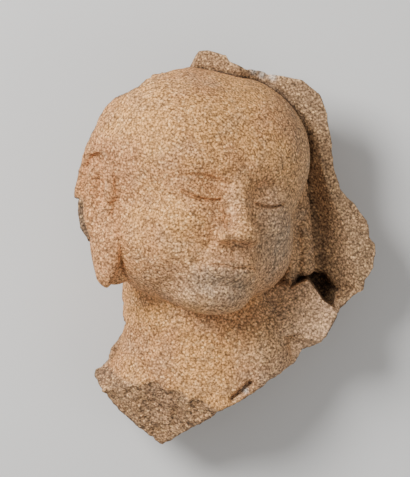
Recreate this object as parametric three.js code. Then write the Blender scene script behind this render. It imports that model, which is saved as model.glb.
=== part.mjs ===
// A carved stone face sculpture: a life-size bald head with long ears, broken from a larger figure together
// with one side of its hood, the neck and a corner of the collar. It lies on its broken back, face up.
//
// The form is one field of distances, below zero inside the stone. Solids such as ellipsoids and capsules are
// joined and cut with rounded seams, the breaks trim them, and the zero surface becomes one closed mesh.
//
// Units are millimetres. X runs across the face to its left shoulder, Y from the neck to the crown and Z up
// from the bed that the back lies on. The free form is drawn in shares of the head's height, and there the
// third number is the height above the head's centre.
import * as THREE from "three";
import { triTable } from "three/addons/objects/MarchingCubes.js";

// Driving dimensions, in millimetres and degrees
const HEAD_HEIGHT = 241; // crown to chin
const BED_DEPTH = 96; // from the head's centre down to the flat of the back
const HEAD_TURN = 28; // the face turns towards +X
const HEAD_LEAN = 6; // the crown leans towards +X
const REST_WIDTH = 126; // the flat spot on the back, across X
const REST_LENGTH = 162; // the flat spot on the back, along Y
const BACK_RISE = 16; // how far the back lifts from the bed towards its edge
const BREAK_RELIEF = 10; // height of the lumps on a broken surface
const HOOD_HEIGHT = 84; // the hood's crest above the bed, beside the ear
const GROOVE_WIDTH = 4.5; // the line between the head and the hood, at the hood's surface
const GROOVE_DEPTH = 5;
const LOBE_LENGTH = 82; // the hanging lobe below the ear's bowl
const EDGE_SLOPE = 0.42; // how far a side break runs inwards for each millimetre of depth

// Fineness of the mesh
const CELL = HEAD_HEIGHT / 86; // edge of a sampling cell
const TRIANGLES = 9200;

const STONE = new THREE.MeshStandardMaterial({ color: 0xb5977a, roughness: 0.92, metalness: 0 });

const { abs, ceil, exp, hypot, max, min, sign, sin, sqrt } = Math;
const share = (millimetres) => millimetres / HEAD_HEIGHT;
const unit = (x, y, z) => new THREE.Vector3(x, y, z).normalize();

// Plans of the fragment
const OUTLINE = [
  // crown and the hood's broken front edge
  [-0.158, 0.747], [-0.116, 0.813], [-0.079, 0.817], [-0.002, 0.793], [0.012, 0.768], [0.075, 0.743],
  [0.145, 0.734], [0.17, 0.722], [0.232, 0.714], [0.315, 0.697], [0.39, 0.639],
  // hood, down to the shoulder
  [0.415, 0.568], [0.432, 0.515], [0.452, 0.328], [0.473, 0.245], [0.523, 0.183], [0.589, 0.116],
  [0.602, 0.05], [0.631, 0.021], [0.622, -0.087], [0.581, -0.141], [0.573, -0.178], [0.498, -0.224],
  // collar and breast
  [0.456, -0.27], [0.427, -0.328], [0.39, -0.39], [0.315, -0.419], [0.29, -0.478], [0.183, -0.544],
  [0.099, -0.602], [-0.058, -0.693],
  // lower break
  [-0.207, -0.78], [-0.266, -0.82], [-0.328, -0.776], [-0.398, -0.71], [-0.44, -0.689], [-0.494, -0.627],
  [-0.556, -0.535], [-0.556, -0.51], [-0.498, -0.469], [-0.456, -0.373],
  // neck, ear and crown on the figure's right
  [-0.423, -0.32], [-0.423, -0.274], [-0.465, -0.183], [-0.556, -0.091], [-0.622, 0.033], [-0.631, 0.166],
  [-0.606, 0.282], [-0.577, 0.411], [-0.531, 0.502], [-0.506, 0.56], [-0.452, 0.614], [-0.357, 0.655],
  [-0.299, 0.701], [-0.207, 0.734],
];
const HOOD_LINE = [
  [-0.7, 0.7], [0.16, 0.715], [0.237, 0.695], [0.278, 0.593], [0.32, 0.498], [0.328, 0.35], [0.345, 0.2],
  [0.365, 0.124], [0.382, 0], [0.398, -0.12], [0.419, -0.199], [0.44, -0.5], [0.3, -1],
];
const CLOTH_PLAN = [
  [0.199, -0.29], [0.257, -0.17], [0.34, -0.135], [0.398, -0.203], [0.444, -0.253], [0.5, -0.34],
  [0.39, -0.386], [0.282, -0.361], [0.203, -0.373],
];
const UNDERCLOTH_PLAN = [[0.166, -0.33], [0.4, -0.37], [0.456, -0.456], [0.249, -0.622], [0.166, -0.53]];
const LEDGE_PLAN = [
  [0.444, -0.228], [0.5, -0.187], [0.581, -0.141], [0.631, -0.12], [0.664, -0.19], [0.498, -0.332],
  [0.42, -0.27],
];
const BEHIND_PLAN = [
  [-0.158, 0.83], [0.664, 0.83], [0.664, -0.415], [0.166, -0.871], [-0.581, -0.871], [-0.581, -0.515],
  [-0.415, -0.249], [-0.373, 0.166], [-0.29, 0.622],
];

// Proportions of the head, from its centre: across, towards the crown and out of the face
const HEAD_PLACE = new THREE.Vector3(-0.141, 0.241, 0);
const EYE = { across: 0.158, up: -0.01, half: 0.09 };
const BROW_UP = 0.088;
const NOSE_BASE = -0.208;
const MOUTH = { up: -0.3, half: 0.128 };
const EAR_FORWARD = 0.095;
const EAR_SPLAY = 0.3;
const RIM = [
  [0.452, -0.035, 0.036], [0.458, 0.065, 0.036], [0.462, 0.118, -0.012], [0.466, 0.112, -0.075],
  [0.468, 0.045, -0.118], [0.466, -0.05, -0.12], [0.456, -0.14, -0.085], [0.446, -0.22, -0.052],
];
const INNER_RIM = [
  [0.45, 0.066, -0.022], [0.462, 0.03, -0.058], [0.462, -0.045, -0.066], [0.45, -0.115, -0.04],
];

// Easing, joins and cuts
const clamp = (t) => min(max(t, 0), 1);
const ease = (start, end, t) => {
  const s = clamp((t - start) / (end - start));
  return s * s * (3 - 2 * s);
};
const bell = (t) => exp(-t * t);
const join = (a, b, rounding) => {
  const h = max(rounding - abs(a - b), 0) / rounding;
  return min(a, b) - (h * h * rounding) / 4;
};
const overlap = (a, b, rounding) => -join(-a, -b, rounding);
const cut = (a, b, rounding) => overlap(a, -b, rounding);

// Solids as distances
function ellipsoid(x, y, z, [cx, cy, cz], [rx, ry, rz]) {
  const px = (x - cx) / rx;
  const py = (y - cy) / ry;
  const pz = (z - cz) / rz;
  const k = sqrt(px * px + py * py + pz * pz);
  const slope = sqrt((px / rx) ** 2 + (py / ry) ** 2 + (pz / rz) ** 2);
  return (k * (k - 1)) / max(slope, 1e-6);
}

function capsule(x, y, z, [ax, ay, az], [bx, by, bz], startRadius, endRadius) {
  const ex = bx - ax;
  const ey = by - ay;
  const ez = bz - az;
  const px = x - ax;
  const py = y - ay;
  const pz = z - az;
  const t = clamp((px * ex + py * ey + pz * ez) / (ex * ex + ey * ey + ez * ez));
  const apart = sqrt((px - ex * t) ** 2 + (py - ey * t) ** 2 + (pz - ez * t) ** 2);
  return apart - startRadius - (endRadius - startRadius) * t;
}

function chain(x, y, z, line, radius) {
  let d = Infinity;
  for (let i = 1; i < line.length; i++) d = min(d, capsule(x, y, z, line[i - 1], line[i], radius, radius));
  return d;
}

/** Squared distance from a place in the plan to the edge from a to b. */
function toEdge(x, y, [ax, ay], [bx, by]) {
  const ex = bx - ax;
  const ey = by - ay;
  const t = clamp(((x - ax) * ex + (y - ay) * ey) / (ex * ex + ey * ey));
  return (x - ax - ex * t) ** 2 + (y - ay - ey * t) ** 2;
}

/** Distance to a closed outline in the plan, below zero inside it. */
function outlineDistance(x, y, outline) {
  let nearest = Infinity;
  let inside = false;
  let a = outline[outline.length - 1];
  for (const b of outline) {
    nearest = min(nearest, toEdge(x, y, a, b));
    if (a[1] > y !== b[1] > y && x < ((b[0] - a[0]) * (y - a[1])) / (b[1] - a[1]) + a[0]) inside = !inside;
    a = b;
  }
  return inside ? -sqrt(nearest) : sqrt(nearest);
}

/** Distance to an open line in the plan, above zero on its left hand as it is listed. */
function besideLine(x, y, line) {
  let nearest = Infinity;
  let side = 1;
  for (let i = 1; i < line.length; i++) {
    const a = line[i - 1];
    const b = line[i];
    const d = toEdge(x, y, a, b);
    if (d < nearest - 1e-9) {
      nearest = d;
      side = sign((b[0] - a[0]) * (y - a[1]) - (b[1] - a[1]) * (x - a[0]));
    }
  }
  return side * sqrt(nearest);
}

/** Distance above a plane through a place. */
const above = (x, y, z, [px, py, pz], normal) =>
  (x - px) * normal.x + (y - py) * normal.y + (z - pz) * normal.z;

// Broken stone
function lumps(x, y, z, size) {
  const u = x / size;
  const v = y / size;
  const w = z / size;
  const first = sin(1.9 * u + 1.3 * sin(1.1 * v + 0.7 * w + 0.4));
  const second = sin(1.7 * v + 1.4 * sin(0.9 * w + 1.2 * u + 2));
  const third = sin(1.8 * w + 1.2 * sin(1.3 * u - 0.8 * v + 4.1));
  return (first + second + third) / 3;
}

/** How far a broken surface stands out at a place. */
function breakRelief(x, y, z) {
  const warp = 0.05 * lumps(y, z, x, 0.16);
  const coarse = 0.45 * lumps(x + warp, y - warp, z, 0.137);
  const ridged = abs(lumps(0.8 * x + 0.6 * y + 0.166, 0.8 * y - 0.6 * x + 2 * warp, z, 0.083));
  const fine = 0.16 * lumps(0.6 * x - 0.8 * z, y + 0.07 + warp, 0.8 * x + 0.6 * z, 0.034);
  return share(BREAK_RELIEF) * (coarse + 0.16 - 0.48 * ridged + fine);
}

// The head: side is the distance from its middle plane, up runs to the crown and out runs out of the face
function skull(side, up, out) {
  const broad = sqrt(side * side + 0.004) - 0.012;
  let d = ellipsoid(side, up, out, [0, 0.09, -0.02], [0.45, 0.41, 0.445]);
  d = join(d, ellipsoid(broad, up, out, [0.175, 0.185, 0.02], [0.25, 0.265, 0.335]), 0.14);
  d = join(d, ellipsoid(side, up, out, [0, -0.14, 0.05], [0.395, 0.34, 0.362]), 0.08);
  d = join(d, ellipsoid(broad, up, out, [0.17, -0.235, 0.13], [0.205, 0.175, 0.205]), 0.1);
  d = join(d, ellipsoid(side, up, out, [0, -0.42, 0.265], [0.145, 0.08, 0.135]), 0.1);
  d = join(d, ellipsoid(side, up, out, [0, -0.298, 0.305], [0.155, 0.1, 0.122]), 0.08);
  return join(d, ellipsoid(side, up, out, [0.16, -0.115, 0.32], [0.1, 0.055, 0.07]), 0.08);
}

function browAndEye(d, side, up, out, front) {
  const u = (side - 0.15) / 0.15;
  const brow = BROW_UP + 0.034 * (1 - u * u);
  const span = ease(1.15, 0.7, abs(u)) * front;
  d = cut(d, ellipsoid(side, up, out, [EYE.across - 0.012, 0.012, 0.5], [0.128, 0.066, 0.128]), 0.04);
  d -= 0.007 * span * ease(brow - 0.028, brow + 0.004, up) * ease(brow + 0.07, brow + 0.004, up);
  d = join(d, ellipsoid(side, up, out, [EYE.across, EYE.up, 0.322], [EYE.half, 0.052, 0.067]), 0.02);
  const e = (side - EYE.across) / EYE.half;
  const almond = max(1 - e * e, 0);
  const slit = up - (EYE.up - 0.006 - 0.02 * almond + 0.01 * e);
  const lid = ease(0, 0.6, almond) * front;
  d -= 0.008 * lid * ease(-0.003, 0.003, slit) * ease(0.055, 0.01, slit);
  d -= 0.0045 * lid * ease(-0.034, -0.016, slit) * ease(-0.008, -0.014, slit);
  d += 0.008 * ease(0, 0.3, almond) * front * bell((slit + 0.005) / 0.0075);
  const near = max(1 - (e / 1.15) ** 2, 0);
  const crease = up - (EYE.up + 0.046 + 0.016 * almond + 0.006 * e);
  return d + 0.0045 * ease(0, 0.3, near) * front * bell(crease / 0.007);
}

function nose(d, side, up, out, front) {
  let n = capsule(side, up, out, [0, 0.06, 0.38], [0, -0.15, 0.458], 0.026, 0.04);
  n = join(n, ellipsoid(side, up, out, [0, -0.16, 0.468], [0.054, 0.042, 0.05]), 0.02);
  n = join(n, ellipsoid(side, up, out, [0.06, -0.178, 0.428], [0.036, 0.032, 0.05]), 0.014);
  n = overlap(n, NOSE_BASE - up + 0.25 * (out - 0.43), 0.012);
  d = join(d, n, 0.035);
  d = cut(d, ellipsoid(side, up, out, [0.032, NOSE_BASE - 0.002, 0.458], [0.017, 0.016, 0.028]), 0.008);
  d += 0.004 * front * bell((side - 0.098) / 0.012) * bell((up + 0.172) / 0.03);
  const furrow = 0.105 + 0.045 * ease(-0.19, -0.31, up);
  const reach = ease(-0.175, -0.215, up) * ease(-0.345, -0.29, up);
  return d + 0.005 * front * bell((side - furrow) / 0.02) * reach;
}

function mouthAndChin(d, side, up, out, front) {
  const m = side / MOUTH.half;
  const line = MOUTH.up + 0.008 * m * m - 0.005 * bell(side / 0.024) + 0.003 * bell((side - 0.045) / 0.03);
  const upper = MOUTH.up + 0.036 - 0.026 * m * m - 0.007 * bell(side / 0.018);
  const lower = MOUTH.up - 0.046 + 0.034 * m * m;
  const width = ease(1.08, 0.72, m) * front;
  d -= 0.011 * width * ease(upper + 0.007, upper - 0.01, up) * ease(line - 0.003, line + 0.004, up);
  d -= 0.013 * width * ease(lower - 0.012, lower + 0.012, up) * ease(line + 0.003, line - 0.004, up);
  d += 0.01 * ease(1.1, 0.8, m) * front * bell((up - line) / 0.007);
  d += 0.009 * front * bell((side - MOUTH.half * 1.02) / 0.015) * bell((up - MOUTH.up - 0.006) / 0.018);
  const dip = ease(MOUTH.up + 0.03, MOUTH.up + 0.048, up) * ease(NOSE_BASE - 0.006, NOSE_BASE - 0.02, up);
  d += 0.0055 * front * bell(side / 0.016) * dip;
  return d + 0.01 * front * ease(0.15, 0.05, side) * bell((up - MOUTH.up + 0.076) / 0.02);
}

function ears(across, up, out) {
  const lobe = 0.048 - share(LOBE_LENGTH);
  const forward = out - EAR_FORWARD;
  const side = across - 0.025 * ease(-0.05, -0.32, up) + EAR_SPLAY * (forward - 0.02);
  if (abs(side - 0.43) > 0.25 || abs(forward + 0.03) > 0.35 || up > 0.35 || up < lobe - 0.35) return 0.12;
  let d = ellipsoid(side, up, forward, [0.425, -0.02, -0.04], [0.048, 0.14, 0.092]);
  d = join(d, ellipsoid(side, up, forward, [0.412, lobe, 0], [0.046, 0.15, 0.088]), 0.06);
  // stone left standing behind the lobe and the ear
  d = join(d, ellipsoid(side, up, forward, [0.34, lobe + 0.02, -0.05], [0.1, 0.15, 0.08]), 0.04);
  d = join(d, ellipsoid(side, up, forward, [0.38, -0.02, -0.12], [0.085, 0.2, 0.14]), 0.05);
  d = join(d, chain(side, up, forward, RIM, 0.016), 0.03);
  d = join(d, chain(side, up, forward, INNER_RIM, 0.009), 0.022);
  d = cut(d, ellipsoid(side, up, forward, [0.486, -0.05, -0.006], [0.036, 0.065, 0.034]), 0.02);
  return join(d, ellipsoid(side, up, forward, [0.446, -0.06, 0.034], [0.022, 0.032, 0.016]), 0.012);
}

const TO_HEAD = new THREE.Matrix4()
  .makeRotationZ(THREE.MathUtils.degToRad(-HEAD_LEAN))
  .multiply(new THREE.Matrix4().makeRotationY(THREE.MathUtils.degToRad(HEAD_TURN)))
  .setPosition(HEAD_PLACE)
  .invert();
const place = new THREE.Vector3();

function headAndEars(x, y, z) {
  const { x: across, y: up, z: out } = place.set(x, y, z).applyMatrix4(TO_HEAD);
  const side = abs(across);
  const front = ease(0.12, 0.24, out);
  let d = skull(side, up, out);
  if (front > 0 && d < 0.2) {
    d = browAndEye(d, side, up, out, front);
    d = nose(d, side, up, out, front);
    d = mouthAndChin(d, side, up, out, front);
  }
  return join(d, ears(side, up, out), 0.017);
}

function neckAndBreast(x, y, z) {
  const neck = ellipsoid(x, y, z, [-0.141, -0.249, -0.141], [0.299, 0.622, 0.257]);
  const breast = ellipsoid(x, y, z, [-0.124, -0.851, -0.232], [0.685, 0.415, 0.365]);
  const shoulder = ellipsoid(x, y, z, [0.13, -0.4, -0.13], [0.16, 0.22, 0.19]);
  const body = join(join(neck, breast, 0.166), shoulder, 0.1);
  const crease = y + 0.382 + 0.145 * (x + 0.141) ** 2;
  return body + 0.0045 * bell(crease / 0.021) * ease(-0.19, -0.025, z);
}

const CLOTH_NORMAL = unit(-0.24, 0.2, 0.95);
const UNDERCLOTH_NORMAL = unit(-0.1, -0.26, 0.96);

function collar(x, y, z) {
  const cloth = above(x, y, z, [0.274, -0.249, 0.01], CLOTH_NORMAL);
  const under = above(x, y, z, [0.274, -0.415, -0.035], UNDERCLOTH_NORMAL);
  const clothPlan = outlineDistance(x, y, CLOTH_PLAN) - 0.55 * max(-cloth, 0);
  const underPlan = outlineDistance(x, y, UNDERCLOTH_PLAN) - 0.3 * max(-under, 0);
  return min(overlap(cloth, clothPlan, 0.012), overlap(under, underPlan, 0.012));
}

/** How high the hood and the stone behind the head stand: a valley beside the face, a crest, a flat edge. */
function hoodSurface(x, y) {
  const crest = 0.062 + 0.079 * ease(0.4, -0.05, y);
  const beyond = besideLine(x, y, HOOD_LINE) - crest;
  const level = share(HOOD_HEIGHT - BED_DEPTH) + 0.05 * ease(0.124, 0.54, y);
  const valley = 0.135 * ease(0.02, -1, beyond / (crest + 0.008)) * ease(0.6, 0.36, y);
  const side = level - valley - 0.035 * ease(0.03, 0.2, beyond);
  const top = ease(0.16, 0.03, x) * ease(0.498, 0.664, y);
  return side + (0.083 - side) * top;
}

function hoodAndStoneBehind(x, y, z, surface, head) {
  const headWide = ellipsoid(x, y, z, [-0.141, 0.241, -0.15], [0.465, 0.502, 1.66]);
  const plan = min(headWide, outlineDistance(x, y, BEHIND_PLAN));
  let d = overlap((z - surface) * 0.8, plan, 0.025);
  const chunk = ellipsoid(x, y, z, [-0.56, 0.12, -0.13], [0.075, 0.105, 0.15]) - 2.2 * breakRelief(x, y, z);
  d = join(d, chunk, 0.04);
  d = cut(d, capsule(x, y, 0.4 * z, [0.378, -0.145, -0.02], [0.535, -0.172, -0.01], 0.068, 0.016), 0.012);
  const ledgeTop = z + 0.065 + 0.25 * (x - 0.5) + 0.5 * (y + 0.2);
  d = join(d, overlap(ledgeTop, outlineDistance(x, y, LEDGE_PLAN), 0.012), 0.012);
  const groove = share(GROOVE_WIDTH) * max(1 + (z - surface) / share(GROOVE_DEPTH), 0) * ease(-0.05, 0.08, x);
  return overlap(d, groove - head, 0.006);
}

const LOWER_BREAK_NORMAL = unit(-0.22, -0.62, 0.75);

/** Trims the carved form by the break below the neck, the broken sides and the back that lies on the bed. */
function breakAway(d, x, y, z, surface) {
  const relief = breakRelief(x, y, z);
  d = overlap(d, above(x, y, z, [-0.295, -0.585, 0.066], LOWER_BREAK_NORMAL) - relief, 0.006);
  const side = outlineDistance(x, y, OUTLINE) + EDGE_SLOPE * max(surface - z, 0);
  d = overlap(d, 0.9 * (side - relief * ease(0.02, -0.19, z)), 0.006);
  const spread = hypot((x + 0.021) / share(REST_WIDTH / 2), (y - 0.021) / share(REST_LENGTH / 2));
  const lift = share(BACK_RISE) * ease(1, 2.5, spread) - (relief - 0.012) * ease(0.85, 1.35, spread);
  const bed = -share(BED_DEPTH);
  return max(overlap(d, bed + lift - z, 0.006), bed - z);
}

/** Distance to the fragment's surface at a place, all in head heights. */
function fragment(x, y, z) {
  const surface = hoodSurface(x, y);
  const head = headAndEars(x, y, z);
  let d = join(head, neckAndBreast(x, y, z), 0.025);
  d = join(d, collar(x, y, z), 0.045);
  d = join(d, hoodAndStoneBehind(x, y, z, surface, head), 0.03);
  return breakAway(d, x, y, z, surface);
}

// The zero surface as a mesh
const CORNERS = [[0, 0, 0], [1, 0, 0], [1, 1, 0], [0, 1, 0], [0, 0, 1], [1, 0, 1], [1, 1, 1], [0, 1, 1]];
const EDGES = [
  [0, 1], [1, 2], [2, 3], [3, 0], [4, 5], [5, 6], [6, 7], [7, 4], [0, 4], [1, 5], [2, 6], [3, 7],
];
const BLOCK = 4; // cells along a block, which is left out whole where the surface is far

/** The zero surface of a field inside a box, as points and triangles. */
function surfaceOf(field, box, cell) {
  const counts = box.getSize(new THREE.Vector3()).toArray().map((length) => ceil(length / cell / BLOCK));
  const [nx, ny, nz] = counts.map((blocks) => blocks * BLOCK + 1);
  const index = (i, j, k) => i + nx * (j + ny * k);
  const at = (axis, step) => box.min.getComponent(axis) + cell * step;
  const values = new Float64Array(nx * ny * nz).fill(NaN);
  const valueAt = (i, j, k) => {
    const n = index(i, j, k);
    if (Number.isNaN(values[n])) {
      const value = field(at(0, i), at(1, j), at(2, k));
      values[n] = abs(value) < 1e-3 * cell ? 1e-3 * cell : value;
    }
    return values[n];
  };
  const points = [];
  const faces = [];
  const made = new Map();
  const pointOn = (i, j, k, edge) => {
    const [first, second] = EDGES[edge];
    const low = CORNERS[min(first, second)];
    const high = CORNERS[max(first, second)];
    const axis = low.findIndex((offset, n) => offset !== high[n]);
    const start = low[axis] < high[axis] ? low : high;
    const [u, v, w] = [i + start[0], j + start[1], k + start[2]];
    const key = index(u, v, w) * 3 + axis;
    if (!made.has(key)) {
      const here = valueAt(u, v, w);
      const there = valueAt(u + (axis === 0), v + (axis === 1), w + (axis === 2));
      const t = min(max(here / (here - there), 0.02), 0.98);
      made.set(key, points.length / 3);
      points.push(at(0, u + t * (axis === 0)), at(1, v + t * (axis === 1)), at(2, w + t * (axis === 2)));
    }
    return made.get(key);
  };
  const march = (i, j, k) => {
    let kind = 0;
    for (let corner = 0; corner < 8; corner++) {
      const [u, v, w] = CORNERS[corner];
      if (valueAt(i + u, j + v, k + w) > 0) kind |= 1 << corner;
    }
    for (let row = kind * 16; triTable[row] !== -1; row++) faces.push(pointOn(i, j, k, triTable[row]));
  };
  const far = 0.87 * BLOCK * cell * 1.6;
  for (let k = 0; k < nz - 1; k += BLOCK)
    for (let j = 0; j < ny - 1; j += BLOCK)
      for (let i = 0; i < nx - 1; i += BLOCK) {
        const middle = field(at(0, i + BLOCK / 2), at(1, j + BLOCK / 2), at(2, k + BLOCK / 2));
        if (abs(middle) > far) continue;
        for (let n = 0; n < BLOCK ** 3; n++)
          march(i + (n % BLOCK), j + (Math.floor(n / BLOCK) % BLOCK), k + Math.floor(n / BLOCK ** 2));
      }
  return { points, faces };
}

/** The largest of the closed shells in a surface, without any crumb outside it or bubble inside it. */
function largestShell({ points, faces }) {
  const root = Int32Array.from({ length: points.length / 3 }, (_, v) => v);
  const find = (v) => {
    while (root[v] !== v) v = root[v] = root[root[v]];
    return v;
  };
  for (let n = 0; n < faces.length; n++) root[find(faces[n])] = find(faces[n - (n % 3)]);
  const sizes = new Map();
  for (const v of faces) sizes.set(find(v), (sizes.get(find(v)) ?? 0) + 1);
  const [largest] = [...sizes].reduce((most, shell) => (shell[1] > most[1] ? shell : most));
  return { points, faces: faces.filter((v) => find(v) === largest) };
}

/** Moves each point along the field's slope onto its zero surface. */
function settle(points, field, cell) {
  const e = 0.05 * cell;
  for (let round = 0; round < 2; round++)
    for (let i = 0; i < points.length; i += 3) {
      const x = points[i];
      const y = points[i + 1];
      const z = points[i + 2];
      const value = field(x, y, z);
      const near = [field(x + e, y, z), field(x, y + e, z), field(x, y, z + e)];
      const slope = near.map((other) => (other - value) / e);
      const step = -value / max(slope[0] ** 2 + slope[1] ** 2 + slope[2] ** 2, 0.1);
      const move = min(max(step, -cell / 3), cell / 3);
      for (let axis = 0; axis < 3; axis++) points[i + axis] += move * slope[axis];
    }
}

/** A heap that gives the least cost first. */
class Queue {
  items = [];

  push(item) {
    const { items } = this;
    let i = items.push(item) - 1;
    while (i > 0 && items[(i - 1) >> 1].cost > item.cost) {
      items[i] = items[(i - 1) >> 1];
      i = (i - 1) >> 1;
    }
    items[i] = item;
  }

  pop() {
    const { items } = this;
    const first = items[0];
    const last = items.pop();
    const { length } = items;
    if (length === 0) return first;
    let i = 0;
    while (2 * i + 1 < length) {
      let child = 2 * i + 1;
      if (child + 1 < length && items[child + 1].cost < items[child].cost) child++;
      if (items[child].cost >= last.cost) break;
      items[i] = items[child];
      i = child;
    }
    items[i] = last;
    return first;
  }
}

/** Collapses the edges that matter least to the form, until the wanted number of triangles is left. */
function simplify({ points, faces }, wanted, care) {
  const count = points.length / 3;
  const pointAt = (v) => new THREE.Vector3().fromArray(points, 3 * v);
  const corners = Array.from({ length: faces.length / 3 }, (_, f) => faces.slice(3 * f, 3 * f + 3));
  const places = Array.from({ length: count }, (_, v) => pointAt(v));
  const around = Array.from({ length: count }, () => new Set());
  const quadrics = Array.from({ length: count }, () => new Float64Array(10));
  const version = new Int32Array(count);
  const edgeA = new THREE.Vector3();
  const edgeB = new THREE.Vector3();
  const normalOf = (p, q, r, target) => target.crossVectors(edgeA.subVectors(q, p), edgeB.subVectors(r, p));

  const normal = new THREE.Vector3();
  corners.forEach((face, f) => {
    const [p, q, r] = face.map((v) => places[v]);
    const weight = normalOf(p, q, r, normal).length() * care(p);
    const { x, y, z } = normal.normalize();
    const w = -normal.dot(p);
    const plane = [x * x, x * y, x * z, x * w, y * y, y * z, y * w, z * z, z * w, w * w];
    for (const v of face) {
      around[v].add(f);
      for (let n = 0; n < 10; n++) quadrics[v][n] += weight * plane[n];
    }
  });

  const errorAt = (q, { x, y, z }) =>
    x * (q[0] * x + 2 * (q[1] * y + q[2] * z + q[3])) +
    y * (q[4] * y + 2 * (q[5] * z + q[6])) +
    z * (q[7] * z + 2 * q[8]) + q[9];
  const sum = new Float64Array(10);
  const matrix = new THREE.Matrix3();
  const propose = (u, v) => {
    for (let n = 0; n < 10; n++) sum[n] = quadrics[u][n] + quadrics[v][n];
    const middle = places[u].clone().lerp(places[v], 0.5);
    const length = places[u].distanceTo(places[v]);
    const options = [middle, places[u], places[v]];
    matrix.set(sum[0], sum[1], sum[2], sum[1], sum[4], sum[5], sum[2], sum[5], sum[7]);
    if (matrix.determinant() > 1e-5 * (sum[0] + sum[4] + sum[7]) ** 3) {
      const best = new THREE.Vector3(-sum[3], -sum[6], -sum[8]).applyMatrix3(matrix.invert());
      if (best.distanceTo(middle) < length) options.push(best);
    }
    const errors = options.map((option) => errorAt(sum, option));
    const least = min(...errors);
    const cost = least + 2e-4 * length ** 4;
    return { u, v, to: options[errors.indexOf(least)], cost, stamp: version[u] + version[v] };
  };
  const neighbours = (v) => {
    const near = new Set();
    for (const f of around[v]) for (const w of corners[f]) if (w !== v) near.add(w);
    return near;
  };
  const after = new THREE.Vector3();
  const breadth = (area, p, q, r) =>
    area / max(p.distanceToSquared(q), q.distanceToSquared(r), r.distanceToSquared(p), 1e-9);
  const keepsForm = (moved, other, to) => {
    for (const f of around[moved]) {
      if (corners[f].includes(other)) continue;
      const old = corners[f].map((v) => places[v]);
      const fresh = corners[f].map((v) => (v === moved ? to : places[v]));
      const oldArea = normalOf(...old, normal).length();
      const area = normalOf(...fresh, after).length();
      if (normal.dot(after) < 0.3 * oldArea * area) return false;
      if (breadth(area, ...fresh) < min(0.08, breadth(oldArea, ...old))) return false;
    }
    return true;
  };

  const queue = new Queue();
  for (const [p, q, r] of corners)
    for (const [u, v] of [[p, q], [q, r], [r, p]]) if (u < v) queue.push(propose(u, v));
  let left = corners.length;
  while (left > wanted && queue.items.length > 0) {
    const { u, v, to, stamp } = queue.pop();
    if (around[u].size === 0 || around[v].size === 0 || stamp !== version[u] + version[v]) continue;
    const nearU = neighbours(u);
    if (!nearU.has(v) || [...neighbours(v)].filter((w) => nearU.has(w)).length !== 2) continue;
    if (!keepsForm(u, v, to) || !keepsForm(v, u, to)) continue;
    for (const f of around[v]) {
      if (corners[f].includes(u)) {
        for (const w of corners[f]) if (w !== v) around[w].delete(f);
        corners[f] = null;
        left--;
      } else {
        corners[f] = corners[f].map((w) => (w === v ? u : w));
        around[u].add(f);
      }
    }
    around[v].clear();
    places[u] = to.clone();
    for (let n = 0; n < 10; n++) quadrics[u][n] += quadrics[v][n];
    version[u] += version[v] + 1;
    for (const w of neighbours(u)) queue.push(propose(u, w));
  }

  const kept = corners.filter(Boolean);
  const used = [...new Set(kept.flat())];
  const renumbered = new Map(used.map((v, n) => [v, n]));
  const index = kept.flatMap((face) => face.map((v) => renumbered.get(v)));
  return { places: used.map((v) => places[v]), index };
}

/** The fragment's mesh in millimetres, standing on the bed with the origin under the middle of its box. */
function fragmentGeometry() {
  const field = (x, y, z) => HEAD_HEIGHT * fragment(share(x), share(y), share(z));
  const top = 0.52 * HEAD_HEIGHT;
  const box = new THREE.Box3()
    .setFromPoints(OUTLINE.map(([x, y]) => new THREE.Vector3(x * HEAD_HEIGHT, y * HEAD_HEIGHT, top)))
    .expandByPoint(new THREE.Vector3(0, 0, -BED_DEPTH))
    .expandByScalar(2 * CELL);
  const surface = largestShell(surfaceOf(field, box, CELL));
  settle(surface.points, field, CELL);
  const onFace = ({ x, y, z }) => place.set(share(x), share(y), share(z)).applyMatrix4(TO_HEAD).z;
  const { places, index } = simplify(surface, TRIANGLES, (p) => 1 + 5 * ease(0.1, 0.25, onFace(p)));
  for (const p of places) if (p.z < 0.05 - BED_DEPTH) p.z = -BED_DEPTH;
  const geometry = new THREE.BufferGeometry().setFromPoints(places).setIndex(index);
  geometry.computeBoundingBox();
  const { min: low, max: high } = geometry.boundingBox;
  geometry.translate(-(low.x + high.x) / 2, -(low.y + high.y) / 2, BED_DEPTH);
  geometry.computeVertexNormals();
  return geometry;
}

const sculpture = new THREE.Group();
const headFragment = new THREE.Mesh(fragmentGeometry(), STONE);
headFragment.name = "head_fragment";
sculpture.add(headFragment);

export default sculpture;
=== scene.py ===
"""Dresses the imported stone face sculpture: its carved and broken surfaces, its stone, and a pale studio.

The form is a field of distances in shares of the head's height, below zero inside the stone. X runs across
the face to its left shoulder, Y from the neck to the crown and Z up from the head's centre, out of the face.
"""

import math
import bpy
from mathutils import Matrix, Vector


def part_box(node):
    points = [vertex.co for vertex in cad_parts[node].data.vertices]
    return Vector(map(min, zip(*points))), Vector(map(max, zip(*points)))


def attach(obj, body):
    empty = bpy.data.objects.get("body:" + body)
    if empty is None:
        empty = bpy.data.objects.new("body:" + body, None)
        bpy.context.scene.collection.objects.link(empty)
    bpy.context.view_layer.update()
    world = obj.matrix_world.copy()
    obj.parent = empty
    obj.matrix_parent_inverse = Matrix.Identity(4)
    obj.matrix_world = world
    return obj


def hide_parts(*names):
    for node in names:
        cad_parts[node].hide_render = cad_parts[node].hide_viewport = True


bl_info = {
    "name": "Stone Face Sculpture",
    "version": (1, 0, 0),
    "blender": (4, 5, 0),
    "location": "View3D > Sidebar > Sculpture",
    "description": "Carves a broken stone head that lies on its back, and sets a pale studio round it",
    "category": "Add Mesh",
}

import bpy
import numpy as np
from bpy.props import FloatProperty, FloatVectorProperty, IntProperty, PointerProperty
from mathutils import Vector

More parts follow.
